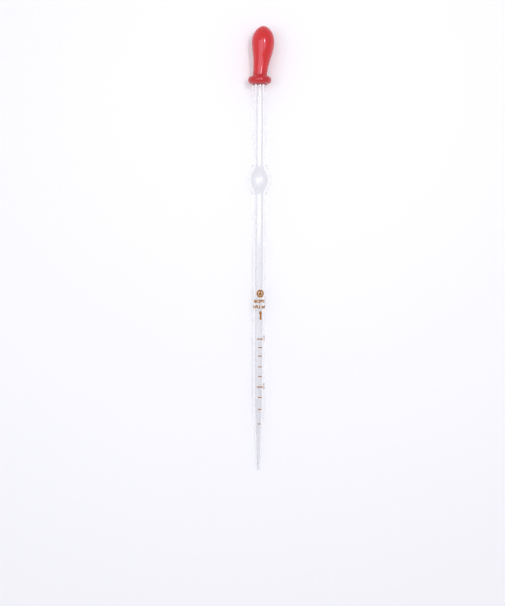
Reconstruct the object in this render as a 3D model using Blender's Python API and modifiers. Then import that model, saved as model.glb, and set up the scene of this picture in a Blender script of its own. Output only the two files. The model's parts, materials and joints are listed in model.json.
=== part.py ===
"""Graduated dropping pipette with a safety bulb and a rubber teat, lying on a flat surface.

Everything is modelled along the pipette's own axis: height runs up from the tip, and every
sub-part hangs from one empty at the tip, whose +X looks up from the surface, whose +Y is to
the right with the teat at the top, and whose +Z runs up the pipette. The empty then lays the
pipette down along world +X, resting on its safety bulb and on the barrel above the taper.
"""

import math

import bmesh
import bpy
from mathutils import Matrix

# Turned parts
SEGMENTS = 32
HALF_STEP = math.pi / SEGMENTS
FLAT = math.cos(HALF_STEP)
MERGE = 0.00001

# Glass tube, heights from the tip
GLASS_LENGTH = 0.2206
TUBE_R = 0.0040
BARREL_BORE_R = 0.00215
STEM_BORE_R = 0.0019
TAPER_TOP = 0.043
TAPER_OUTSIDE = (
    (0.0, 0.00112), (0.009, 0.00155), (0.019, 0.00224),
    (0.028, 0.00284), (0.038, 0.00378), (TAPER_TOP, TUBE_R),
)
TAPER_BORE = (
    (0.0, 0.0005), (0.005, 0.00078), (0.012, 0.00098),
    (0.022, 0.0013), (0.030, 0.0017), (0.038, 0.0020), (TAPER_TOP, BARREL_BORE_R),
)
TAPER_RINGS = 9
TUBE_RING_SPACING = 0.03
TIP_EDGE_R = 0.0002
MOUTH_EDGE_R = 0.0006

# Safety bulb blown in the tube
BULB_HEIGHT = 0.1637
BULB_R = 0.0069
BULB_BORE_R = 0.0050
BULB_HALF_LENGTH = 0.0087
BULB_BORE_HALF_LENGTH = 0.0093
BULB_RINGS = 14
SWELL_POWER = 1.2

# Rubber teat, heights from the tip of the glass
TOTAL_LENGTH = 0.250
COLLAR_HEIGHT = 0.2196
COLLAR_CENTRE_R = 0.0043
COLLAR_ROLL_R = 0.0023
SOCKET_R = 0.0041
SOCKET_END = 0.2209
NECK_BORE_R = 0.0029
RUBBER_WALL = 0.00115
NECK_FOOT = 0.2223
BELLY_HEIGHT = 0.241
BELLY_R = 0.00642
TEAT_OUTSIDE = (
    (NECK_FOOT, 0.00405), (0.225, 0.00412), (0.2284, 0.00442), (0.2317, 0.00492),
    (0.2345, 0.00555), (0.2375, 0.00608), (BELLY_HEIGHT, BELLY_R),
)
CROWN_POWER = 0.57
LEAN_START = 0.219
LEAN_LENGTH = 0.020
LEAN = 0.00175
LEAN_SLOPE = 0.02

# Squeezed wall panels of the teat
PANEL_HEIGHT = 0.239
PANEL_R = 0.0039
PANEL_GAP = 0.0003
PANEL_INNER_SIDE = 0.0005
PANEL_OUTER_SIDE = 0.010

# Enamel, printed 12 degrees round from the top of the tube towards +Y
PRINT_ANGLE = math.radians(12)
ENAMEL_GAP = 0.00004
ENAMEL_THICKNESS = 0.00008
ENAMEL_CELL = 0.0006
LINE_THICKNESS = 0.00045
LONG_LINE = 0.0038
SHORT_LINE = 0.00215
LOWEST_LINE = 0.0014
# Tenths of the capacity against the height of the line, lowest last
GRADUATIONS = (
    (10, 0.0740), (9, 0.0692), (8, 0.0644), (7, 0.0583), (6, 0.0529),
    (5, 0.0470), (4, 0.0411), (3, 0.0343), (2, 0.0260),
)
LONG_TENTHS = (10, 5)
SCALE_NUMERAL_ANGLE = math.radians(38)
SCALE_NUMERAL_SIZE = (0.0010, 0.0018)
SCALE_NUMERAL_RISE = 0.0009
CAPACITY_HEIGHT = 0.0873
CAPACITY_SIZE = (0.0014, 0.0048)
CAPACITY_STROKE = 0.0009
ROW_ANGLE = math.radians(6)
ROWS = (("print_row_upper", 0.0953, 0.0055, 0.0012), ("print_row_lower", 0.0921, 0.0061, 0.0014))
EMBLEM_HEIGHT = 0.0996
EMBLEM_R = 0.0021
EMBLEM_STROKE = 0.00055
EMBLEM_DOT_R = 0.0008
CIRCLE_POINTS = 16

COLLECTION = "graduated_dropping_pipette"
CUTTERS = "cutters"


def clear_scene():
    for thing in list(bpy.data.objects):
        bpy.data.objects.remove(thing)


def new_collection(name):
    collection = bpy.data.collections.new(name)
    bpy.context.scene.collection.children.link(collection)
    return collection


def material(name, colour, roughness, metallic=0.0):
    made = bpy.data.materials.new(name)
    made.use_nodes = True
    shader = made.node_tree.nodes["Principled BSDF"]
    shader.inputs["Base Color"].default_value = (*colour, 1.0)
    shader.inputs["Roughness"].default_value = roughness
    shader.inputs["Metallic"].default_value = metallic
    return made


def smooth_step(t):
    t = min(max(t, 0.0), 1.0)
    return t * t * (3 - 2 * t)


def through(points, height):
    """Radius at a height on a smooth curve through (height, radius) points, level at the last."""
    slopes = []
    for i in range(len(points)):
        before = points[max(i - 1, 0)]
        after = points[min(i + 1, len(points) - 1)]
        slopes.append((after[1] - before[1]) / (after[0] - before[0]))
    slopes[-1] = 0.0
    for i in range(len(points) - 1):
        (h0, r0), (h1, r1) = points[i], points[i + 1]
        if height <= h1 or i == len(points) - 2:
            span = h1 - h0
            t = min(max((height - h0) / span, 0.0), 1.0)
            start = (1 + 2 * t) * (1 - t) ** 2 * r0 + t * (1 - t) ** 2 * span * slopes[i]
            end = t * t * (3 - 2 * t) * r1 + t * t * (t - 1) * span * slopes[i + 1]
            return start + end


def swell(distance, half_length):
    """How far a blown bulb has swelled, 1 at its middle and 0 at its ends."""
    return 1 - smooth_step((abs(distance) / half_length) ** SWELL_POWER)


def glass_outside(height):
    if height < TAPER_TOP:
        return through(TAPER_OUTSIDE, height)
    return TUBE_R + (BULB_R - TUBE_R) * swell(height - BULB_HEIGHT, BULB_HALF_LENGTH)


def glass_bore(height):
    if height < TAPER_TOP:
        return through(TAPER_BORE, height)
    tube = BARREL_BORE_R if height < BULB_HEIGHT else STEM_BORE_R
    return tube + (BULB_BORE_R - tube) * swell(height - BULB_HEIGHT, BULB_BORE_HALF_LENGTH)


def teat_outside(height):
    """Radius of the teat's neck and belly, and of its crown above the belly."""
    if height < BELLY_HEIGHT:
        return through(TEAT_OUTSIDE, height)
    t = (height - BELLY_HEIGHT) / (TOTAL_LENGTH - BELLY_HEIGHT)
    return BELLY_R * max(1 - t * t, 0.0) ** CROWN_POWER


def lean(height):
    """How far the teat's centre stands off the glass axis, towards +Y."""
    bend = LEAN * smooth_step((height - LEAN_START) / LEAN_LENGTH)
    return bend + LEAN_SLOPE * max(height - LEAN_START - LEAN_LENGTH, 0.0)


def evenly(low, high, count):
    return [low + (high - low) * i / (count - 1) for i in range(count)]


def quarter(centre_r, centre_h, radius, start, turn):
    """Points on a quarter round in the (radius, height) plane, from a start angle."""
    angles = [start + turn * math.radians(90) * i / 3 for i in range(4)]
    return [(centre_r + radius * math.cos(a), centre_h + radius * math.sin(a)) for a in angles]


def tube_heights(half_length):
    """Heights of the rings from the top of the taper to the mouth, lowest first."""
    bulb_low, bulb_high = BULB_HEIGHT - half_length, BULB_HEIGHT + half_length
    barrel = evenly(TAPER_TOP, bulb_low, 1 + round((bulb_low - TAPER_TOP) / TUBE_RING_SPACING))
    bulb = evenly(bulb_low, bulb_high, BULB_RINGS + 1)
    stem = evenly(bulb_high, GLASS_LENGTH - MOUTH_EDGE_R, 3)
    return barrel[:-1] + bulb + stem[1:-1]


def turned(name, profile, collection, closed):
    """A mesh object turned from a profile of (radius, height) points, outer side top to bottom."""
    curve = bpy.data.meshes.new(name + "_profile")
    edges = [(i, i + 1) for i in range(len(profile) - 1)]
    if closed:
        edges.append((len(profile) - 1, 0))
    across, along = math.cos(HALF_STEP), math.sin(HALF_STEP)
    curve.from_pydata([(r * across, r * along, h) for r, h in profile], edges, [])
    outline = bpy.data.objects.new(name + "_profile", curve)
    collection.objects.link(outline)
    screw = outline.modifiers.new("turn", "SCREW")
    screw.steps = SEGMENTS
    screw.render_steps = SEGMENTS
    screw.use_merge_vertices = True
    screw.merge_threshold = MERGE
    made = mesh_object(name, outline, collection)
    bpy.data.objects.remove(outline)
    return made


def mesh_object(name, source, collection):
    """A mesh object with the evaluated shape of another object."""
    bpy.context.view_layer.update()
    evaluated = source.evaluated_get(bpy.context.evaluated_depsgraph_get())
    made = bpy.data.objects.new(name, bpy.data.meshes.new_from_object(evaluated))
    made.data.name = name
    made.matrix_world = source.matrix_world
    collection.objects.link(made)
    return made


def edit(thing, change):
    """Change an object's mesh through bmesh."""
    mesh = bmesh.new()
    mesh.from_mesh(thing.data)
    change(mesh)
    mesh.to_mesh(thing.data)
    mesh.free()


def finish(thing, parent, finish_material):
    thing.parent = parent
    thing.data.materials.clear()
    thing.data.materials.append(finish_material)
    thing.data.shade_smooth()
    thing.data.set_sharp_from_angle(angle=math.radians(40))
    return thing


def glass_profile():
    mouth_r = glass_outside(GLASS_LENGTH)
    edge_h = GLASS_LENGTH - MOUTH_EDGE_R
    taper = evenly(0.0, TAPER_TOP, TAPER_RINGS)
    outside = quarter(mouth_r - MOUTH_EDGE_R, edge_h, MOUTH_EDGE_R, math.pi / 2, -1)
    heights = reversed(taper[1:-1] + tube_heights(BULB_HALF_LENGTH))
    outside += [(glass_outside(h), h) for h in heights]
    outside += quarter(glass_outside(0) - TIP_EDGE_R, TIP_EDGE_R, TIP_EDGE_R, 0, -1)
    bore = quarter(glass_bore(0) + TIP_EDGE_R, TIP_EDGE_R, TIP_EDGE_R, -math.pi / 2, -1)
    bore += [(glass_bore(h), h) for h in taper[1:-1] + tube_heights(BULB_BORE_HALF_LENGTH)]
    mouth_bore = glass_bore(GLASS_LENGTH)
    bore += quarter(mouth_bore + MOUTH_EDGE_R, edge_h, MOUTH_EDGE_R, math.pi, -1)
    return outside + bore


def teat_profile():
    crown = [TOTAL_LENGTH - (TOTAL_LENGTH - BELLY_HEIGHT) * (1 - math.cos(a))
             for a in evenly(0, math.pi / 2, 7)]
    belly = evenly(BELLY_HEIGHT, NECK_FOOT, 9)
    outside = [(teat_outside(h), h) for h in crown[:-1] + belly]
    roll = evenly(math.pi / 2, -math.pi / 2, 9)
    outside += [(COLLAR_CENTRE_R + COLLAR_ROLL_R * math.cos(a),
                 COLLAR_HEIGHT + COLLAR_ROLL_R * math.sin(a)) for a in roll]
    lead_in = COLLAR_CENTRE_R - SOCKET_R
    socket = [(SOCKET_R, COLLAR_HEIGHT - COLLAR_ROLL_R + lead_in), (SOCKET_R, SOCKET_END),
              (NECK_BORE_R, SOCKET_END)]
    inner_top = TOTAL_LENGTH - RUBBER_WALL
    shrink = (inner_top - BELLY_HEIGHT) / (TOTAL_LENGTH - BELLY_HEIGHT)
    inside = [(teat_outside(h) - RUBBER_WALL, h) for h in reversed(belly)]
    inside += [(teat_outside(h) * (1 - RUBBER_WALL / BELLY_R),
                BELLY_HEIGHT + (h - BELLY_HEIGHT) * shrink) for h in reversed(crown[1:-1])]
    return outside + socket + inside + [(0.0, inner_top)]


def make_glass(collection, parent, glass):
    pipette = turned("glass_pipette", glass_profile(), collection, closed=True)
    return finish(pipette, parent, glass)


def bend_teat(mesh):
    for vertex in mesh.verts:
        vertex.co.y += lean(vertex.co.z)


def panel_cutter(name, side, radius, collection):
    """A round cutter through one side of the teat's belly, side +1 being +Y."""
    depth = PANEL_OUTER_SIDE - PANEL_INNER_SIDE
    middle = lean(PANEL_HEIGHT) + side * (PANEL_INNER_SIDE + depth / 2)
    cutter = bpy.data.objects.new(name, bpy.data.meshes.new(name))

    def cylinder(mesh):
        bmesh.ops.create_cone(mesh, cap_ends=True, segments=SEGMENTS, radius1=radius,
                              radius2=radius, depth=depth)

    edit(cutter, cylinder)
    cutter.rotation_euler = (math.pi / 2, 0, 0)
    cutter.location = (0, middle, PANEL_HEIGHT)
    cutter.hide_render = True
    cutter.display_type = "WIRE"
    collection.objects.link(cutter)
    return cutter


def boolean(thing, cutter, operation):
    cut = thing.modifiers.new(cutter.name, "BOOLEAN")
    cut.operation = operation
    cut.solver = "EXACT"
    cut.object = cutter


def make_teat(collection, cutters, parent, rubber):
    """The rubber moulding, in one shell and the two wall panels that fingers press."""
    whole = turned("whole_teat", teat_profile(), collection, closed=False)
    edit(whole, bend_teat)
    shell = mesh_object("rubber_teat", whole, collection)
    for side, word in ((1, "right"), (-1, "left")):
        hole = panel_cutter("cut_hole_" + word, side, PANEL_R + PANEL_GAP, cutters)
        boolean(shell, hole, "DIFFERENCE")
        plug = panel_cutter("cut_panel_" + word, side, PANEL_R, cutters)
        cut = mesh_object("cut_" + word, whole, collection)
        boolean(cut, plug, "INTERSECT")
        panel = mesh_object("squeeze_panel_" + word, cut, collection)
        bpy.data.objects.remove(cut)
        middle_y = lean(PANEL_HEIGHT) + side * (BELLY_R - RUBBER_WALL / 2)
        panel.data.transform(Matrix.Translation((0, -middle_y, -PANEL_HEIGHT)))
        panel.location = (0, middle_y, PANEL_HEIGHT)
        finish(panel, parent, rubber)
    bpy.data.objects.remove(whole)
    for cutter in cutters.objects:
        cutter.parent = parent
    return finish(shell, parent, rubber)


def outline_mesh(name, loops, collection):
    """A thin flat solid from closed outlines of (across, up) points."""
    curve = bpy.data.curves.new(name, "CURVE")
    curve.dimensions = "2D"
    curve.fill_mode = "BOTH"
    curve.extrude = ENAMEL_THICKNESS / 2
    for loop in loops:
        spline = curve.splines.new("POLY")
        spline.points.add(len(loop) - 1)
        for point, (across, up) in zip(spline.points, loop):
            point.co = (across, up, 0, 1)
        spline.use_cyclic_u = True
    flat = bpy.data.objects.new(name + "_outline", curve)
    collection.objects.link(flat)
    made = mesh_object(name, flat, collection)
    bpy.data.objects.remove(flat)
    return made


def enamel(name, loops, height, angle, collection, parent, finish_material):
    """A fired enamel mark wrapped round the outside of the glass."""
    mark = outline_mesh(name, loops, collection)

    def wrap(mesh):
        bmesh.ops.remove_doubles(mesh, verts=mesh.verts, dist=MERGE / 10)
        reach = max(abs(v.co.x) for v in mesh.verts)
        cells = math.ceil(reach / ENAMEL_CELL)
        for i in range(-cells, cells + 1):
            everything = mesh.verts[:] + mesh.edges[:] + mesh.faces[:]
            bmesh.ops.bisect_plane(mesh, geom=everything, dist=MERGE / 10,
                                   plane_co=(i * ENAMEL_CELL, 0, 0), plane_no=(1, 0, 0))
        bmesh.ops.triangulate(mesh, faces=mesh.faces[:])
        for vertex in mesh.verts:
            across, up, out = vertex.co
            here = height + up
            surface = glass_outside(here)
            round_by = angle + across / surface
            radius = surface + ENAMEL_GAP + ENAMEL_THICKNESS / 2 + out
            vertex.co = (radius * math.cos(round_by), radius * math.sin(round_by), here)

    edit(mark, wrap)
    return finish(mark, parent, finish_material)


def rectangle(width, height, across=0.0, up=0.0):
    x, y = width / 2, height / 2
    return [(across - x, up - y), (across + x, up - y), (across + x, up + y), (across - x, up + y)]


def polygon(radius, count, turn=0.0):
    angles = [turn + 2 * math.pi * i / count for i in range(count)]
    return [(radius * math.cos(a), radius * math.sin(a)) for a in angles]


def numeral_one(width, height, stroke):
    """A plain numeral 1: an upright with a flag at its top left."""
    right, left = width / 2, -width / 2
    top, low = height / 2, -height / 2
    return [(right, low), (right, top), (right - stroke * 0.7, top), (left, top - stroke * 1.1),
            (left, top - stroke * 1.9), (right - stroke, top - stroke * 1.3), (right - stroke, low)]


def make_graduations(collection, parent, amber):
    for tenths, height in GRADUATIONS:
        width = LONG_LINE if tenths in LONG_TENTHS else SHORT_LINE
        if tenths == GRADUATIONS[-1][0]:
            width = LOWEST_LINE
        name = f"graduation_line_{tenths / 10:.1f}"
        line = rectangle(width, LINE_THICKNESS)
        enamel(name, [line], height, PRINT_ANGLE, collection, parent, amber)
        if tenths in LONG_TENTHS:
            numeral = rectangle(*SCALE_NUMERAL_SIZE)
            enamel(f"scale_numeral_{tenths / 10:.1f}", [numeral], height + SCALE_NUMERAL_RISE,
                   PRINT_ANGLE + SCALE_NUMERAL_ANGLE, collection, parent, amber)


def make_print(collection, parent, amber):
    width, height = CAPACITY_SIZE
    one = numeral_one(width, height, CAPACITY_STROKE)
    enamel("capacity_numeral", [one], CAPACITY_HEIGHT, PRINT_ANGLE, collection, parent, amber)
    for name, row_height, row_width, row_tall in ROWS:
        strip = rectangle(row_width, row_tall)
        enamel(name, [strip], row_height, ROW_ANGLE, collection, parent, amber)
    ring = [polygon(EMBLEM_R, 6), polygon(EMBLEM_R - EMBLEM_STROKE, 6)]
    enamel("emblem_hexagon", ring, EMBLEM_HEIGHT, PRINT_ANGLE, collection, parent, amber)
    dot = [polygon(EMBLEM_DOT_R, CIRCLE_POINTS)]
    enamel("emblem_dot", dot, EMBLEM_HEIGHT, PRINT_ANGLE, collection, parent, amber)


def rest_tilt():
    """Angle at which the bulb and the barrel touch the surface together."""
    below = [h for h in evenly(0.0, TAPER_TOP, TAPER_RINGS)]
    rise = min((BULB_R - glass_outside(h)) * FLAT / (BULB_HEIGHT - h) for h in below)
    return math.atan(rise)


def main():
    clear_scene()
    collection = new_collection(COLLECTION)
    cutters = new_collection(CUTTERS)
    tilt = rest_tilt()
    axis = bpy.data.objects.new("pipette_axis", None)
    collection.objects.link(axis)
    glass = material("clear_glass", (0.90, 0.93, 0.95), 0.03)
    rubber = material("red_rubber", (0.62, 0.035, 0.045), 0.35)
    amber = material("amber_enamel", (0.48, 0.16, 0.035), 0.5)
    make_glass(collection, axis, glass)
    make_teat(collection, cutters, axis, rubber)
    make_graduations(collection, axis, amber)
    make_print(collection, axis, amber)
    side = (lean(BELLY_HEIGHT) + BELLY_R - BULB_R) / 2
    tip_height = BULB_R * FLAT * math.cos(tilt) - BULB_HEIGHT * math.sin(tilt)
    axis.location = (-TOTAL_LENGTH / 2 * math.cos(tilt), side, tip_height)
    axis.rotation_euler = (0, tilt - math.pi / 2, math.pi)


main()
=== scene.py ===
"""Looks of a graduated glass dropping pipette with a red rubber teat, lying on a pale surface.

Shapes are worked out along the pipette's own axis, with height running up from the tip. The
axis frame turns them into place: +X up from the surface, +Y to the right, +Z up the pipette.
"""

import json
import math

import bmesh
import bpy
from mathutils import Matrix, Vector


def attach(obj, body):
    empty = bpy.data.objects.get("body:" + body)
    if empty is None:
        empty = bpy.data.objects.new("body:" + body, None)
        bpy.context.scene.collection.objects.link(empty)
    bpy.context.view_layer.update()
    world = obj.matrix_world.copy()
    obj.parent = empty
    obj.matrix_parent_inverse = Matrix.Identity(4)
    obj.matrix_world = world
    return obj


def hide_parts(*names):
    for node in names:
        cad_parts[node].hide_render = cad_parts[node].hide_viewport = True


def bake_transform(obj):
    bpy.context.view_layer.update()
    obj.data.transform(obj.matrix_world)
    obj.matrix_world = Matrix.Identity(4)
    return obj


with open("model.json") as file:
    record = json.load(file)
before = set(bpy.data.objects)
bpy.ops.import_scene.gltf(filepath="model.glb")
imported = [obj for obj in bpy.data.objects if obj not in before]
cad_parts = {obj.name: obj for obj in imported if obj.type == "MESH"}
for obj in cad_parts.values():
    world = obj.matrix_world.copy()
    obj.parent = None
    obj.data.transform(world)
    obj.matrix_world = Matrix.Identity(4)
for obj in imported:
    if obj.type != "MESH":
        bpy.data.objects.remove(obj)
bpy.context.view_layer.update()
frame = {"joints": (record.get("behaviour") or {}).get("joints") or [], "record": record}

# Turned parts: their smoothness, and how far the flats of the CAD's 32 sides lie inside its circle
SEGMENTS = 128
SHARP_ANGLE = math.radians(50)
CAD_FLAT = math.cos(math.pi / 32)

# Points closer together than this are one point
TOUCHING = 1e-7

# Glass tube, heights from the tip
GLASS_LENGTH = 0.2206
TUBE_R = 0.0040
BARREL_BORE_R = 0.00215
STEM_BORE_R = 0.0019
TAPER_TOP = 0.043
TAPER_OUTSIDE = (
    (0.0, 0.00112), (0.009, 0.00155), (0.019, 0.00224),
    (0.028, 0.00284), (0.038, 0.00378), (TAPER_TOP, TUBE_R),
)
TAPER_BORE = (
    (0.0, 0.0005), (0.005, 0.00078), (0.012, 0.00098),
    (0.022, 0.0013), (0.030, 0.0017), (0.038, 0.0020), (TAPER_TOP, BARREL_BORE_R),
)
TAPER_RINGS = 45
TUBE_RINGS = 12
TIP_EDGE_R = 0.0002
TIP_RING_R = 0.00081
MOUTH_EDGE_R = 0.0006

# Safety bulb
BULB_HEIGHT = 0.1637
BULB_R = 0.0069
BULB_BORE_R = 0.0050
BULB_HALF_LENGTH = 0.0087
BULB_BORE_HALF_LENGTH = 0.0093
BULB_RINGS = 60
SWELL_POWER = 1.2

# Rubber teat
TOTAL_LENGTH = 0.250
COLLAR_HEIGHT = 0.2196
COLLAR_CENTRE_R = 0.0043
COLLAR_ROLL_R = 0.0023
COLLAR_RINGS = 40
SOCKET_R = 0.0041
SOCKET_END = 0.2209
NECK_BORE_R = 0.0029
RUBBER_WALL = 0.00115
NECK_FOOT = 0.2223
BELLY_HEIGHT = 0.241
BELLY_R = 0.00642
TEAT_OUTSIDE = (
    (NECK_FOOT, 0.00405), (0.225, 0.00412), (0.2284, 0.00442), (0.2317, 0.00492),
    (0.2345, 0.00555), (0.2375, 0.00608), (BELLY_HEIGHT, BELLY_R),
)
CROWN_POWER = 0.57
LEAN_START = 0.219
LEAN_LENGTH = 0.020
LEAN = 0.00175
LEAN_SLOPE = 0.02
CROWN_RINGS = 60
NECK_RINGS = 70

# Squeeze: how much further out across the belly the wall starts to give, for each unit of length
# away from the belly
SQUEEZE_SLOPE = 0.36

# Rubber: its two reds, the tint of its reflections, its roughness, and the painted shade on its
# collar:
# the share of the colour the collar keeps, which gives way to the neck's full colour between two
# places along the row frame's X
RUBBER_REDS = ((0.60, 0.020, 0.017), (0.63, 0.024, 0.022))
RUBBER_SPECULAR_TINT = (0.88, 0.76, 0.92)
RUBBER_ROUGHNESS = (0.07, 0.12)
COLLAR_PAINTED_SHADE_SHARE = 0.82
COLLAR_PAINTED_SHADE_SPAN = (0.0965, 0.1000)

# Enamel, laid on the glass in cells that are narrow enough to bend round it
AMBERS = ((0.31, 0.112, 0.004), (0.42, 0.168, 0.010))
PRINT_ANGLE = math.radians(12)
ENAMEL_GAP = 0.000004
ENAMEL_THICKNESS = 0.00003
ENAMEL_CELL = 0.00015

# Graduation lines: (tenths of a millilitre, height from the tip)
LINE_THICKNESS = 0.00055
LINE_ROUND = LINE_THICKNESS / 3
LONG_LINE = 0.0038
SHORT_LINE = 0.00215
LOWEST_LINE = 0.0014
GRADUATIONS = (
    (10, 0.0740), (9, 0.0692), (8, 0.0644), (7, 0.0583), (6, 0.0529),
    (5, 0.0470), (4, 0.0411), (3, 0.0343), (2, 0.0260),
)
LONG_TENTHS = (10, 5)

# Figures: beside the long lines, the large one, and the rows of (node, words, height, size)
SCALE_NUMERAL_ANGLE = math.radians(38)
SCALE_NUMERAL_SIZE = (0.0031, 0.0012)
SCALE_NUMERAL_RISE = 0.0004
SCALE_NUMERAL_WEIGHT = 0.00003
SCALE_NUMERAL_TURN = math.radians(90)
CAPACITY_HEIGHT = 0.0873
CAPACITY_SIZE = (0.0015, 0.0049)
CAPACITY_STROKE = 0.0010
CAPACITY_ROUND = 0.00012
ROW_ANGLE = math.radians(6)
ROWS = (("print_row_upper", "EX 20°C", 0.0953, (0.0066, 0.0018)),
        ("print_row_lower", "1:0.1 ml", 0.0921, (0.0074, 0.0019)))
ROW_WEIGHT = 0.00022

# Emblem: a hexagon, with the rounds of its corners outside and in, and a droplet whose round part
# runs between two angles in degrees
EMBLEM_HEIGHT = 0.0996
EMBLEM_R = 0.0024
EMBLEM_STROKE = 0.0010
EMBLEM_ROUNDS = (0.0003, 0.0002)
DROP_R = 0.00092
DROP_TOP = 0.00165
DROP_SINK = 0.0002
DROP_ROUND = (-200, 20)
DROP_POINTS = 23

# Font size for each unit of a figure's height, before the figure is fitted to its size
FONT_SIZE = 1.4

# A corner's round takes no more of a side than its length over this
SIDE_OVER_ROUND = 2.2

# Glass: its refraction, and the size and strength of its ripple
GLASS_IOR = 1.474
RIPPLE_SCALE = (25, 900, 900)
RIPPLE_STRENGTH = 0.004
RIPPLE_DISTANCE = 0.0001

# Light that has met more surfaces than this goes straight on through the glass
MOST_SURFACES = 3

# Painted shade in the bore: how heavy it is face-on and edge-on at shares of the length from the
# tip, its two tints, and the range of Layer Weight's facing over which it deepens
BORE_PAINTED_SHADE = ((0.25, 1.0), (0.50, 0.60), (0.55, 0.10), (0.78, 0.10), (0.84, 0.60))
BORE_EDGE_PAINTED_SHADE = ((0.615, 1.0), (0.63, 0.72), (0.68, 0.72), (0.695, 1.0))
BORE_CLEAR = (0.97, 0.97, 0.975)
BORE_SHADE_TINT = (0.83, 0.83, 0.845)
BORE_EDGE = (0.01, 0.20)

# Painted shade on the outside of the glass, in the same way: how grey its rims are painted at
# shares of the length from the tip, its two tints, and the range of facing that counts as its rims
RIM_PAINTED_SHADE = ((0.14, 1.0), (0.20, 0.05), (0.33, 0.25), (0.55, 0.90),
       (0.61, 0.15), (0.70, 0.15), (0.74, 1.0))
OUTSIDE_CLEAR = (0.985, 0.985, 0.99)
OUTSIDE_RIM_SHADE_TINT = (0.48, 0.48, 0.51)
OUTSIDE_EDGE = (0.35, 0.80)

# What a shadow ray keeps at each glass surface
SHADOW_TINT = (0.97, 0.97, 0.973)

# Surface under the pipette
FLOOR_TONES = ((0.915, 0.920, 0.935), (0.925, 0.930, 0.945))
FLOOR_REACH = 3.0

# Light tent: radiance at its horizon and its top, and the right side's share of it
TENT_COLOUR = (0.965, 0.972, 1.0)
TENT_HORIZON = 0.87
TENT_TOP = 0.52
TENT_RIGHT = 0.86

# Soft boxes: name, place, size, power and colour
SOFT_BOXES = (
    ("key", (0.17, -0.24, 1.0), (0.34, 0.05), 2.1, (0.98, 0.92, 1.0)),
    ("broad", (0.0, 0.38, 0.95), (0.62, 0.90), 2.6, (0.94, 0.93, 1.0)),
    ("side", (0.10, -0.42, 0.93), (0.45, 0.35), 0.50, (0.98, 0.94, 1.0)),
    ("near", (0.12, -0.02, 0.32), (0.26, 0.26), 0.16, (1.0, 1.0, 1.0)),
)

# Camera: the height of its frame at the pipette, and where it stands over the surface
FRAME_HEIGHT = 0.341
CAMERA_DISTANCE = 0.80
CAMERA_PLACE = (-0.0308, 0.0042)
CAMERA_ROLL = math.radians(0.2236)
SENSOR = 36.0


def smooth_step(t):
    t = min(max(t, 0.0), 1.0)
    return t * t * (3 - 2 * t)


def through(points, height):
    """Radius at a height on a smooth curve through (height, radius) points, level at the last."""
    slopes = []
    for i in range(len(points)):
        before = points[max(i - 1, 0)]
        after = points[min(i + 1, len(points) - 1)]
        slopes.append((after[1] - before[1]) / (after[0] - before[0]))
    slopes[-1] = 0.0
    for i in range(len(points) - 1):
        (h0, r0), (h1, r1) = points[i], points[i + 1]
        if height <= h1 or i == len(points) - 2:
            span = h1 - h0
            t = min(max((height - h0) / span, 0.0), 1.0)
            start = (1 + 2 * t) * (1 - t) ** 2 * r0 + t * (1 - t) ** 2 * span * slopes[i]
            end = t * t * (3 - 2 * t) * r1 + t * t * (t - 1) * span * slopes[i + 1]
            return start + end


def swell(distance, half_length):
    return 1 - smooth_step((abs(distance) / half_length) ** SWELL_POWER)


def glass_outside(height):
    if height < TAPER_TOP:
        return through(TAPER_OUTSIDE, height)
    return TUBE_R + (BULB_R - TUBE_R) * swell(height - BULB_HEIGHT, BULB_HALF_LENGTH)


def glass_bore(height):
    if height < TAPER_TOP:
        return through(TAPER_BORE, height)
    tube = BARREL_BORE_R if height < BULB_HEIGHT else STEM_BORE_R
    return tube + (BULB_BORE_R - tube) * swell(height - BULB_HEIGHT, BULB_BORE_HALF_LENGTH)


def teat_outside(height):
    if height < BELLY_HEIGHT:
        return through(TEAT_OUTSIDE, height)
    t = (height - BELLY_HEIGHT) / (TOTAL_LENGTH - BELLY_HEIGHT)
    return BELLY_R * max(1 - t * t, 0.0) ** CROWN_POWER


def lean(height):
    bend = LEAN * smooth_step((height - LEAN_START) / LEAN_LENGTH)
    return bend + LEAN_SLOPE * max(height - LEAN_START - LEAN_LENGTH, 0.0)


def evenly(low, high, count):
    return [low + (high - low) * i / (count - 1) for i in range(count)]


def arc(centre_r, centre_h, radius, start, end, count=10):
    """(radius, height) points on an arc between two angles in degrees."""
    angles = [math.radians(a) for a in evenly(start, end, count)]
    return [(centre_r + radius * math.cos(a), centre_h + radius * math.sin(a)) for a in angles]


def axis_frame():
    """The pipette's own axes in the row frame, from the pull-off joint and the tip's mount."""
    record = frame["record"]
    joint = next(j for j in frame["joints"] if j["name"] == "teat_pull_off")
    mount = next(m for m in record["mounts"] if m["name"] == "tip_end")
    along = Vector(joint["axis"]).normalized()
    right = Vector((0, -1, 0))
    up = right.cross(along)
    tip = Vector(mount["pos_m"]) - up * TIP_RING_R
    placed = Matrix((up, right, along)).transposed().to_4x4()
    placed.translation = tip
    return placed


AXIS = axis_frame()


def new_object(name, mesh):
    made = bpy.data.objects.new(name, mesh)
    bpy.context.scene.collection.objects.link(made)
    return made


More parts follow.
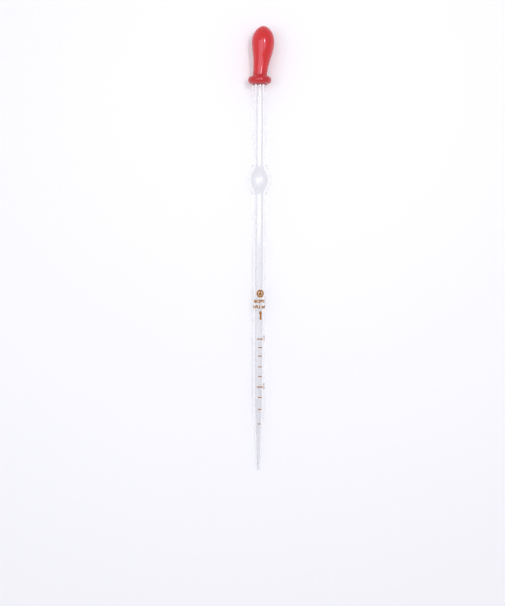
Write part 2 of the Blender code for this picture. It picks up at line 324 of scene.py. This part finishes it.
def turned(name, profile, closed, angles=None, centre=None):
    """A mesh turned from (radius, height) points, which run down the outer side first.

    closed joins the last point to the first. angles gives the directions of the profile's
    copies, which go all the way round if None. A part that stops short of a full turn is shut
    with a flat wall at each end. centre gives how far its middle leans to the right at a height.
    """
    full = angles is None
    if full:
        angles = [2 * math.pi * i / SEGMENTS for i in range(SEGMENTS)]
    mesh = bmesh.new()
    columns = []
    poles = {}
    for angle in angles:
        column = []
        for i, (radius, height) in enumerate(profile):
            middle = centre(height) if centre else 0.0
            point = (radius * math.cos(angle), middle + radius * math.sin(angle), height)
            if radius < TOUCHING:
                vertex = poles.get(i) or mesh.verts.new(point)
                poles[i] = vertex
            else:
                vertex = mesh.verts.new(point)
            column.append(vertex)
        columns.append(column)
    following = columns[1:] + columns[:1] if full else columns[1:]
    rows = len(profile) if closed else len(profile) - 1
    for left, right in zip(columns, following):
        for i in range(rows):
            j = (i + 1) % len(profile)
            corners = [left[i], left[j], right[j], right[i]]
            distinct = list(dict.fromkeys(corners))
            if len(distinct) > 2:
                mesh.faces.new(distinct)
    if not full:
        mesh.faces.new(columns[0][::-1])
        mesh.faces.new(columns[-1])
    mesh.transform(AXIS)
    data = bpy.data.meshes.new(name)
    mesh.to_mesh(data)
    mesh.free()
    data.shade_smooth()
    data.set_sharp_from_angle(angle=SHARP_ANGLE)
    return new_object(name, data)


# Materials

def shader_of(made):
    made.use_nodes = True
    return made.node_tree.nodes["Principled BSDF"]


def add_node(made, kind, **values):
    node = made.node_tree.nodes.new(kind)
    for name, value in values.items():
        if name in node.inputs:
            node.inputs[name].default_value = value
        else:
            setattr(node, name, value)
    return node


def mottled(made, scale, detail, tones, spread=(0.0, 1.0)):
    """Cloudy noise over the surface, and a colour that runs between two tones as it does.

    spread is the stretch of the noise over which the first tone becomes the second.
    """
    tree = made.node_tree
    where = add_node(made, "ShaderNodeTexCoord")
    cloud = add_node(made, "ShaderNodeTexNoise", Scale=scale, Detail=detail)
    colours = add_node(made, "ShaderNodeValToRGB")
    for element, position, tone in zip(colours.color_ramp.elements, spread, tones):
        element.position = position
        element.color = (*tone, 1)
    tree.links.new(where.outputs["Object"], cloud.inputs["Vector"])
    tree.links.new(cloud.outputs["Fac"], colours.inputs["Fac"])
    return cloud.outputs["Fac"], colours.outputs["Color"]


def clear_glass(name, tint, lets_through):
    """Borosilicate tube with the faint lengthwise ripple of drawn glass.

    To shadow rays and diffuse rays, and deep in a path, it is a plain tinted pass-through.
    """
    made = bpy.data.materials.new(name)
    shader = shader_of(made)
    tree = made.node_tree
    shader.inputs["Base Color"].default_value = (*tint, 1.0)
    shader.inputs["Roughness"].default_value = 0.0
    shader.inputs["IOR"].default_value = GLASS_IOR
    shader.inputs["Transmission Weight"].default_value = 1.0
    where = add_node(made, "ShaderNodeTexCoord")
    stretch = add_node(made, "ShaderNodeMapping")
    stretch.inputs["Scale"].default_value = RIPPLE_SCALE
    ripple = add_node(made, "ShaderNodeTexNoise", Scale=1.0, Detail=2.0)
    bump = add_node(made, "ShaderNodeBump", Strength=RIPPLE_STRENGTH, Distance=RIPPLE_DISTANCE)
    tree.links.new(where.outputs["Object"], stretch.inputs["Vector"])
    tree.links.new(stretch.outputs["Vector"], ripple.inputs["Vector"])
    tree.links.new(ripple.outputs["Fac"], bump.inputs["Height"])
    tree.links.new(bump.outputs["Normal"], shader.inputs["Normal"])
    path = add_node(made, "ShaderNodeLightPath")
    light = add_node(made, "ShaderNodeBsdfTransparent", Color=(*lets_through, 1.0))
    seen = shader.outputs["BSDF"]
    many = add_node(made, "ShaderNodeMath", operation="GREATER_THAN")
    many.inputs[1].default_value = MOST_SURFACES
    tree.links.new(path.outputs["Ray Depth"], many.inputs[0])
    passing = (many.outputs["Value"], path.outputs["Is Diffuse Ray"], path.outputs["Is Shadow Ray"])
    for kind in passing:
        mix = add_node(made, "ShaderNodeMixShader")
        tree.links.new(kind, mix.inputs["Fac"])
        tree.links.new(seen, mix.inputs[1])
        tree.links.new(light.outputs["BSDF"], mix.inputs[2])
        seen = mix.outputs["Shader"]
    tree.links.new(seen, tree.nodes["Material Output"].inputs["Surface"])
    return made


def by_share(made, stops):
    """A value that changes along the pipette, from (share of its length, value) stops."""
    tree = made.node_tree
    where = add_node(made, "ShaderNodeTexCoord")
    split = add_node(made, "ShaderNodeSeparateXYZ")
    share = add_node(made, "ShaderNodeMapRange")
    share.inputs["From Min"].default_value = -TOTAL_LENGTH / 2
    share.inputs["From Max"].default_value = TOTAL_LENGTH / 2
    ramp = add_node(made, "ShaderNodeValToRGB")
    elements = ramp.color_ramp.elements
    elements[0].position = stops[0][0]
    elements[1].position = stops[-1][0]
    for position, value in stops[1:-1]:
        elements.new(position)
    for element, (position, value) in zip(elements, stops):
        element.color = (value, value, value, 1)
    tree.links.new(where.outputs["Object"], split.inputs["Vector"])
    tree.links.new(split.outputs["X"], share.inputs["Value"])
    tree.links.new(share.outputs["Result"], ramp.inputs["Fac"])
    return ramp.outputs["Color"]


def edge_on(made, turned_away):
    """How far the glass is seen edge-on: 0 to 1 over a range of Layer Weight's facing."""
    facing = add_node(made, "ShaderNodeLayerWeight", Blend=0.5)
    edge = add_node(made, "ShaderNodeMapRange")
    edge.inputs["From Min"].default_value = turned_away[0]
    edge.inputs["From Max"].default_value = turned_away[1]
    made.node_tree.links.new(facing.outputs["Facing"], edge.inputs["Value"])
    return edge.outputs["Result"]


def tinted(made, amount, clear, heavy):
    """Shades the glass from its clear tint to its heavy one."""
    tree = made.node_tree
    tint = add_node(made, "ShaderNodeMix", data_type="RGBA")
    tint.inputs["A"].default_value = (*clear, 1.0)
    tint.inputs["B"].default_value = (*heavy, 1.0)
    tree.links.new(amount, tint.inputs["Factor"])
    tree.links.new(tint.outputs["Result"], tree.nodes["Principled BSDF"].inputs["Base Color"])
    return made


def combined(made, operation, first, second):
    both = add_node(made, "ShaderNodeMath", operation=operation)
    made.node_tree.links.new(first, both.inputs[0])
    made.node_tree.links.new(second, both.inputs[1])
    return both.outputs["Value"]


def painted_rim_shade(made):
    """Paints a little grey shade on the outside of the glass where it is seen nearly edge-on."""
    # Painted shade: the grey tint grows with how edge-on the glass is seen, by share along the
    # pipette
    amount = combined(made, "MULTIPLY", edge_on(made, OUTSIDE_EDGE), by_share(made, RIM_PAINTED_SHADE))
    return tinted(made, amount, OUTSIDE_CLEAR, OUTSIDE_RIM_SHADE_TINT)


def painted_bore_shade(made):
    """Paints grey shade on the bore, heavier low in the barrel and where it is seen edge-on."""
    # Painted shade: grey laid on the bore's tint where it is seen edge-on, and heavier low in the
    # barrel
    edge = combined(made, "MULTIPLY", edge_on(made, BORE_EDGE), by_share(made, BORE_EDGE_PAINTED_SHADE))
    amount = combined(made, "MAXIMUM", edge, by_share(made, BORE_PAINTED_SHADE))
    return tinted(made, amount, BORE_CLEAR, BORE_SHADE_TINT)


def red_rubber():
    """Satin moulded rubber, a little uneven in colour and gloss, with painted shade darkening its
    collar.
    """
    made = bpy.data.materials.new("red_rubber")
    shader = shader_of(made)
    tree = made.node_tree
    shader.inputs["Specular IOR Level"].default_value = 0.75
    shader.inputs["Specular Tint"].default_value = (*RUBBER_SPECULAR_TINT, 1)
    cloud, colour = mottled(made, scale=260.0, detail=3.0, tones=RUBBER_REDS, spread=(0.3, 0.7))
    where = add_node(made, "ShaderNodeTexCoord")
    split = add_node(made, "ShaderNodeSeparateXYZ")
    # Painted shade: the collar's colour is scaled down to a share of itself, giving way to the full
    # colour towards the neck
    collar = add_node(made, "ShaderNodeMapRange")
    collar.inputs["From Min"].default_value = COLLAR_PAINTED_SHADE_SPAN[0]
    collar.inputs["From Max"].default_value = COLLAR_PAINTED_SHADE_SPAN[1]
    collar.inputs["To Min"].default_value = COLLAR_PAINTED_SHADE_SHARE
    painted_shade = add_node(made, "ShaderNodeVectorMath", operation="SCALE")
    gloss = add_node(made, "ShaderNodeMapRange")
    gloss.inputs["To Min"].default_value = RUBBER_ROUGHNESS[0]
    gloss.inputs["To Max"].default_value = RUBBER_ROUGHNESS[1]
    grain = add_node(made, "ShaderNodeTexNoise", Scale=2500.0, Detail=2.0)
    bump = add_node(made, "ShaderNodeBump", Strength=0.03, Distance=0.00005)
    tree.links.new(where.outputs["Object"], split.inputs["Vector"])
    tree.links.new(split.outputs["X"], collar.inputs["Value"])
    tree.links.new(colour, painted_shade.inputs[0])
    tree.links.new(collar.outputs["Result"], painted_shade.inputs["Scale"])
    tree.links.new(painted_shade.outputs["Vector"], shader.inputs["Base Color"])
    tree.links.new(cloud, gloss.inputs["Value"])
    tree.links.new(gloss.outputs["Result"], shader.inputs["Roughness"])
    tree.links.new(where.outputs["Object"], grain.inputs["Vector"])
    tree.links.new(grain.outputs["Fac"], bump.inputs["Height"])
    tree.links.new(bump.outputs["Normal"], shader.inputs["Normal"])
    return made


def matt(name, roughness, specular, **mottle):
    """A dull surface, mottled between two tones."""
    made = bpy.data.materials.new(name)
    shader = shader_of(made)
    shader.inputs["Roughness"].default_value = roughness
    shader.inputs["Specular IOR Level"].default_value = specular
    cloud, colour = mottled(made, **mottle)
    made.node_tree.links.new(colour, shader.inputs["Base Color"])
    return made


def amber_enamel():
    """Fired amber stain, slightly mottled where the print was thin."""
    return matt("amber_enamel", roughness=0.55, specular=0.12,
                scale=2500.0, detail=3.0, tones=AMBERS, spread=(0.35, 0.7))


def pale_surface():
    return matt("pale_surface", roughness=0.85, specular=0.2,
                scale=6.0, detail=2.0, tones=FLOOR_TONES)


# Pieces

def glass_profile():
    """The glass tube's section, outside first, and the number of its points that are outside."""
    edge_h = GLASS_LENGTH - MOUTH_EDGE_R
    mouth_r = glass_outside(GLASS_LENGTH) * CAD_FLAT
    bore_r = glass_bore(GLASS_LENGTH)
    taper = evenly(0.0, TAPER_TOP, TAPER_RINGS)[1:]

    def tube(half_length):
        """Heights from the taper to the mouth's edge, closer together in the bulb."""
        low, high = BULB_HEIGHT - half_length, BULB_HEIGHT + half_length
        barrel = evenly(TAPER_TOP, low, TUBE_RINGS)[1:]
        return barrel + evenly(low, high, BULB_RINGS)[1:] + evenly(high, edge_h, TUBE_RINGS)[1:-1]

    outside = arc(mouth_r - MOUTH_EDGE_R, edge_h, MOUTH_EDGE_R, 90, 0)
    outside += [(glass_outside(h) * CAD_FLAT, h) for h in reversed(taper + tube(BULB_HALF_LENGTH))]
    outside += arc(glass_outside(0) * CAD_FLAT - TIP_EDGE_R, TIP_EDGE_R, TIP_EDGE_R, 0, -90)
    bore = arc(glass_bore(0) + TIP_EDGE_R, TIP_EDGE_R, TIP_EDGE_R, -90, -180)
    bore += [(glass_bore(h), h) for h in taper + tube(BULB_BORE_HALF_LENGTH)]
    bore += arc(bore_r + MOUTH_EDGE_R, edge_h, MOUTH_EDGE_R, 180, 90)
    return outside + bore, len(outside)


def make_glass(glass, bore_glass):
    """The glass tube, whose faces run along the profile in each column, outside and then bore."""
    profile, bore_start = glass_profile()
    pipette = turned("pipette_glass", profile, closed=True)
    pipette.data.materials.append(glass)
    pipette.data.materials.append(bore_glass)
    rows = len(profile)
    for i, face in enumerate(pipette.data.polygons):
        face.material_index = int(bore_start <= i % rows)
    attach(pipette, "glass")
    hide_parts("glass_pipette")


def teat_profiles():
    """The teat's section above its belly and the one below it, each outside first."""
    crown = [TOTAL_LENGTH - (TOTAL_LENGTH - BELLY_HEIGHT) * (1 - math.cos(a))
             for a in evenly(0, math.pi / 2, CROWN_RINGS)]
    neck = evenly(BELLY_HEIGHT, NECK_FOOT, NECK_RINGS)
    inner_top = TOTAL_LENGTH - RUBBER_WALL
    shrink = (inner_top - BELLY_HEIGHT) / (TOTAL_LENGTH - BELLY_HEIGHT)
    upper = [(teat_outside(h) * CAD_FLAT, h) for h in crown]
    upper += [(teat_outside(h) * (1 - RUBBER_WALL / BELLY_R),
               BELLY_HEIGHT + (h - BELLY_HEIGHT) * shrink) for h in reversed(crown[1:])]
    upper.append((0.0, inner_top))
    lower = [(teat_outside(h) * CAD_FLAT, h) for h in neck]
    roll = arc(COLLAR_CENTRE_R, COLLAR_HEIGHT, COLLAR_ROLL_R, 90, -90, COLLAR_RINGS)
    lower += [(radius * CAD_FLAT, h) for radius, h in roll]
    lead_in = COLLAR_CENTRE_R - SOCKET_R
    lower += [(SOCKET_R, COLLAR_HEIGHT - COLLAR_ROLL_R + lead_in), (SOCKET_R, SOCKET_END),
              (NECK_BORE_R, SOCKET_END)]
    lower += [(teat_outside(h) - RUBBER_WALL, h) for h in reversed(neck)]
    return upper, lower


def make_teat(rubber):
    """The teat in four quarters that meet on its middle plane and at its belly.
    """
    upper, lower = teat_profiles()
    sections = (("crown", upper, False, -1), ("neck", lower, True, 1))
    for side, word, first in ((1, "right", 0.0), (-1, "left", math.pi)):
        half_turn = evenly(first, first + math.pi, SEGMENTS)
        for part, profile, closed, along in sections:
            quarter = turned(f"teat_{part}_{word}", profile, closed, half_turn, lean)
            quarter.data.materials.append(rubber)
            gives = Vector((0, side, along * SQUEEZE_SLOPE))
            gives /= gives.length_squared
            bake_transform(quarter)
            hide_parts("rubber_teat", "squeeze_panel_" + word)


def mesh_of(made):
    """An object's evaluated mesh. The object itself is removed."""
    bpy.context.view_layer.update()
    evaluated = made.evaluated_get(bpy.context.evaluated_depsgraph_get())
    data = bpy.data.meshes.new_from_object(evaluated)
    bpy.data.objects.remove(made)
    return data


def wrapped(name, flat, height, angle, enamel, node):
    """Takes a thin flat object, (across, up, out) in metres, and wraps it round the glass."""
    data = mesh_of(flat)
    mesh = bmesh.new()
    mesh.from_mesh(data)
    bmesh.ops.remove_doubles(mesh, verts=mesh.verts, dist=TOUCHING)
    reach = max(abs(v.co.x) for v in mesh.verts)
    cells = math.ceil(reach / ENAMEL_CELL)
    for i in range(-cells, cells + 1):
        everything = mesh.verts[:] + mesh.edges[:] + mesh.faces[:]
        bmesh.ops.bisect_plane(mesh, geom=everything, dist=TOUCHING,
                               plane_co=(i * ENAMEL_CELL, 0, 0), plane_no=(1, 0, 0))
    bmesh.ops.triangulate(mesh, faces=mesh.faces[:])
    for vertex in mesh.verts:
        across, up, out = vertex.co
        here = height + up
        surface = glass_outside(here) * CAD_FLAT
        turn = angle + across / surface
        radius = surface + ENAMEL_GAP + ENAMEL_THICKNESS / 2 + out
        vertex.co = AXIS @ Vector((radius * math.cos(turn), radius * math.sin(turn), here))
    mesh.to_mesh(data)
    mesh.free()
    data.materials.clear()
    data.materials.append(enamel)
    made = new_object(name, data)
    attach(made, "glass")
    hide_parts(node)


def flat_curve(name, loops):
    curve = bpy.data.curves.new(name, "CURVE")
    curve.dimensions = "2D"
    curve.fill_mode = "BOTH"
    curve.extrude = ENAMEL_THICKNESS / 2
    for loop in loops:
        spline = curve.splines.new("POLY")
        spline.points.add(len(loop) - 1)
        for point, (across, up) in zip(spline.points, loop):
            point.co = (across, up, 0, 1)
        spline.use_cyclic_u = True
    return new_object(name + "_flat", curve)


def flat_text(name, words, size, weight, turn=0.0):
    """Print as a thin flat object of a given size and stroke weight, centred, and then turned."""
    width, height = size
    curve = bpy.data.curves.new(name, "FONT")
    curve.body = words
    curve.size = height * FONT_SIZE
    curve.offset = weight
    curve.extrude = ENAMEL_THICKNESS / 2
    data = mesh_of(new_object(name + "_flat", curve))
    xs = [v.co.x for v in data.vertices]
    ys = [v.co.y for v in data.vertices]
    data.transform(Matrix.Translation((-(max(xs) + min(xs)) / 2, -(max(ys) + min(ys)) / 2, 0)))
    fit = (width / (max(xs) - min(xs)), height / (max(ys) - min(ys)), 1, 1)
    data.transform(Matrix.Rotation(turn, 4, "Z") @ Matrix.Diagonal(fit))
    return new_object(name + "_flat", data)


def rounded(points, radius, steps=5):
    """A closed outline with each corner cut to a smooth round, shorter than half a side."""
    out = []
    for i, here in enumerate(points):
        before = Vector(points[i - 1]) - Vector(here)
        after = Vector(points[(i + 1) % len(points)]) - Vector(here)
        reach = min(radius, min(before.length, after.length) / SIDE_OVER_ROUND)
        first = Vector(here) + before.normalized() * reach
        last = Vector(here) + after.normalized() * reach
        for k in range(steps):
            t = k / (steps - 1)
            point = first * (1 - t) ** 2 + Vector(here) * 2 * t * (1 - t) + last * t * t
            out.append((point.x, point.y))
    return out


def rectangle(width, height):
    x, y = width / 2, height / 2
    return [(-x, -y), (x, -y), (x, y), (-x, y)]


def hexagon(radius):
    angles = [math.pi / 3 * i for i in range(6)]
    return [(radius * math.cos(a), radius * math.sin(a)) for a in angles]


def numeral_one(width, height, stroke):
    """A plain 1, with a slanted flag whose corners are measured in strokes."""
    right, left = width / 2, -width / 2
    top, low = height / 2, -height / 2
    return [(right, low), (right, top), (right - stroke * 0.7, top), (left, top - stroke * 1.1),
            (left, top - stroke * 1.9), (right - stroke, top - stroke * 1.3), (right - stroke, low)]


def drop():
    """A plain droplet outline, round below and pointed on top."""
    low = arc(0.0, -DROP_SINK, DROP_R, *DROP_ROUND, DROP_POINTS)
    return low + [(0.0, DROP_TOP - DROP_SINK)]


def make_print(enamel):
    for tenths, height in GRADUATIONS:
        width = LONG_LINE if tenths in LONG_TENTHS else SHORT_LINE
        if tenths == GRADUATIONS[-1][0]:
            width = LOWEST_LINE
        words = f"{tenths / 10:.1f}"
        line = rounded(rectangle(width, LINE_THICKNESS), LINE_ROUND)
        wrapped("scale_line_" + words, flat_curve("line", [line]), height, PRINT_ANGLE, enamel,
                "graduation_line_" + words)
        if tenths in LONG_TENTHS:
            numeral = flat_text("numeral", words, SCALE_NUMERAL_SIZE, SCALE_NUMERAL_WEIGHT,
                                SCALE_NUMERAL_TURN)
            wrapped("scale_figure_" + words, numeral, height + SCALE_NUMERAL_RISE,
                    PRINT_ANGLE + SCALE_NUMERAL_ANGLE, enamel, "scale_numeral_" + words)
    width, height = CAPACITY_SIZE
    one = rounded(numeral_one(width, height, CAPACITY_STROKE), CAPACITY_ROUND)
    wrapped("capacity_figure", flat_curve("one", [one]), CAPACITY_HEIGHT, PRINT_ANGLE, enamel,
            "capacity_numeral")
    for node, words, row_height, size in ROWS:
        wrapped(node + "_figures", flat_text("row", words, size, ROW_WEIGHT), row_height,
                ROW_ANGLE, enamel, node)
    radii = (EMBLEM_R, EMBLEM_R - EMBLEM_STROKE)
    ring = [rounded(hexagon(radius), corner) for radius, corner in zip(radii, EMBLEM_ROUNDS)]
    wrapped("emblem_outline", flat_curve("ring", ring), EMBLEM_HEIGHT, PRINT_ANGLE, enamel,
            "emblem_hexagon")
    wrapped("emblem_drop", flat_curve("drop", [drop()]), EMBLEM_HEIGHT, PRINT_ANGLE, enamel,
            "emblem_dot")


# Stage

def make_floor():
    data = bpy.data.meshes.new("floor")
    mesh = bmesh.new()
    bmesh.ops.create_grid(mesh, x_segments=1, y_segments=1, size=FLOOR_REACH)
    mesh.to_mesh(data)
    mesh.free()
    data.materials.append(pale_surface())
    new_object("floor", data)


def softbox(name, place, size, power, colour):
    """An area light over the surface, turned to the middle of the pipette."""
    light = bpy.data.lights.new(name, "AREA")
    light.shape = "RECTANGLE"
    light.size, light.size_y = size
    light.energy = power
    light.color = colour
    lamp = new_object(name, light)
    lamp.location = place
    back = Vector(place).normalized()
    across = Vector((1, 0, 0)) - back * back.x
    across.normalize()
    up = back.cross(across)
    lamp.rotation_euler = Matrix((across, up, back)).transposed().to_euler()


def make_world():
    """A light tent: brightest at the horizon, a little duller on its right, dimmer overhead."""
    world = bpy.data.worlds.new("studio")
    world.use_nodes = True
    background = world.node_tree.nodes["Background"]
    background.inputs["Color"].default_value = (*TENT_COLOUR, 1)
    where = add_node(world, "ShaderNodeTexCoord")
    split = add_node(world, "ShaderNodeSeparateXYZ")
    rise = add_node(world, "ShaderNodeMapRange")
    rise.inputs["To Min"].default_value = TENT_HORIZON
    rise.inputs["To Max"].default_value = TENT_TOP
    side = add_node(world, "ShaderNodeMapRange")
    side.inputs["From Min"].default_value = -1
    side.inputs["To Min"].default_value = TENT_RIGHT
    side.inputs["To Max"].default_value = 1
    both = add_node(world, "ShaderNodeMath", operation="MULTIPLY")
    world.node_tree.links.new(where.outputs["Generated"], split.inputs["Vector"])
    world.node_tree.links.new(split.outputs["Z"], rise.inputs["Value"])
    world.node_tree.links.new(split.outputs["Y"], side.inputs["Value"])
    world.node_tree.links.new(rise.outputs["Result"], both.inputs[0])
    world.node_tree.links.new(side.outputs["Result"], both.inputs[1])
    world.node_tree.links.new(both.outputs["Value"], background.inputs["Strength"])
    bpy.context.scene.world = world


def make_camera():
    data = bpy.data.cameras.new("camera")
    data.sensor_width = SENSOR
    data.lens = SENSOR * CAMERA_DISTANCE / FRAME_HEIGHT
    camera = new_object("camera", data)
    cos, sin = math.cos(CAMERA_ROLL), math.sin(CAMERA_ROLL)
    turned_to = Matrix(((sin, cos, 0), (-cos, sin, 0), (0, 0, 1)))
    camera.rotation_euler = turned_to.to_euler()
    camera.location = (*CAMERA_PLACE, TUBE_R * 2 + CAMERA_DISTANCE)
    bpy.context.scene.camera = camera


make_camera()
make_floor()
make_world()
for box in SOFT_BOXES:
    softbox(*box)
# Painted shade goes on the outside glass's rims and on the bore
make_glass(painted_rim_shade(clear_glass("clear_glass", OUTSIDE_CLEAR, SHADOW_TINT)),
           painted_bore_shade(clear_glass("bore_glass", BORE_CLEAR, SHADOW_TINT)))
make_teat(red_rubber())
make_print(amber_enamel())
bpy.context.scene.view_settings.view_transform = "Standard"
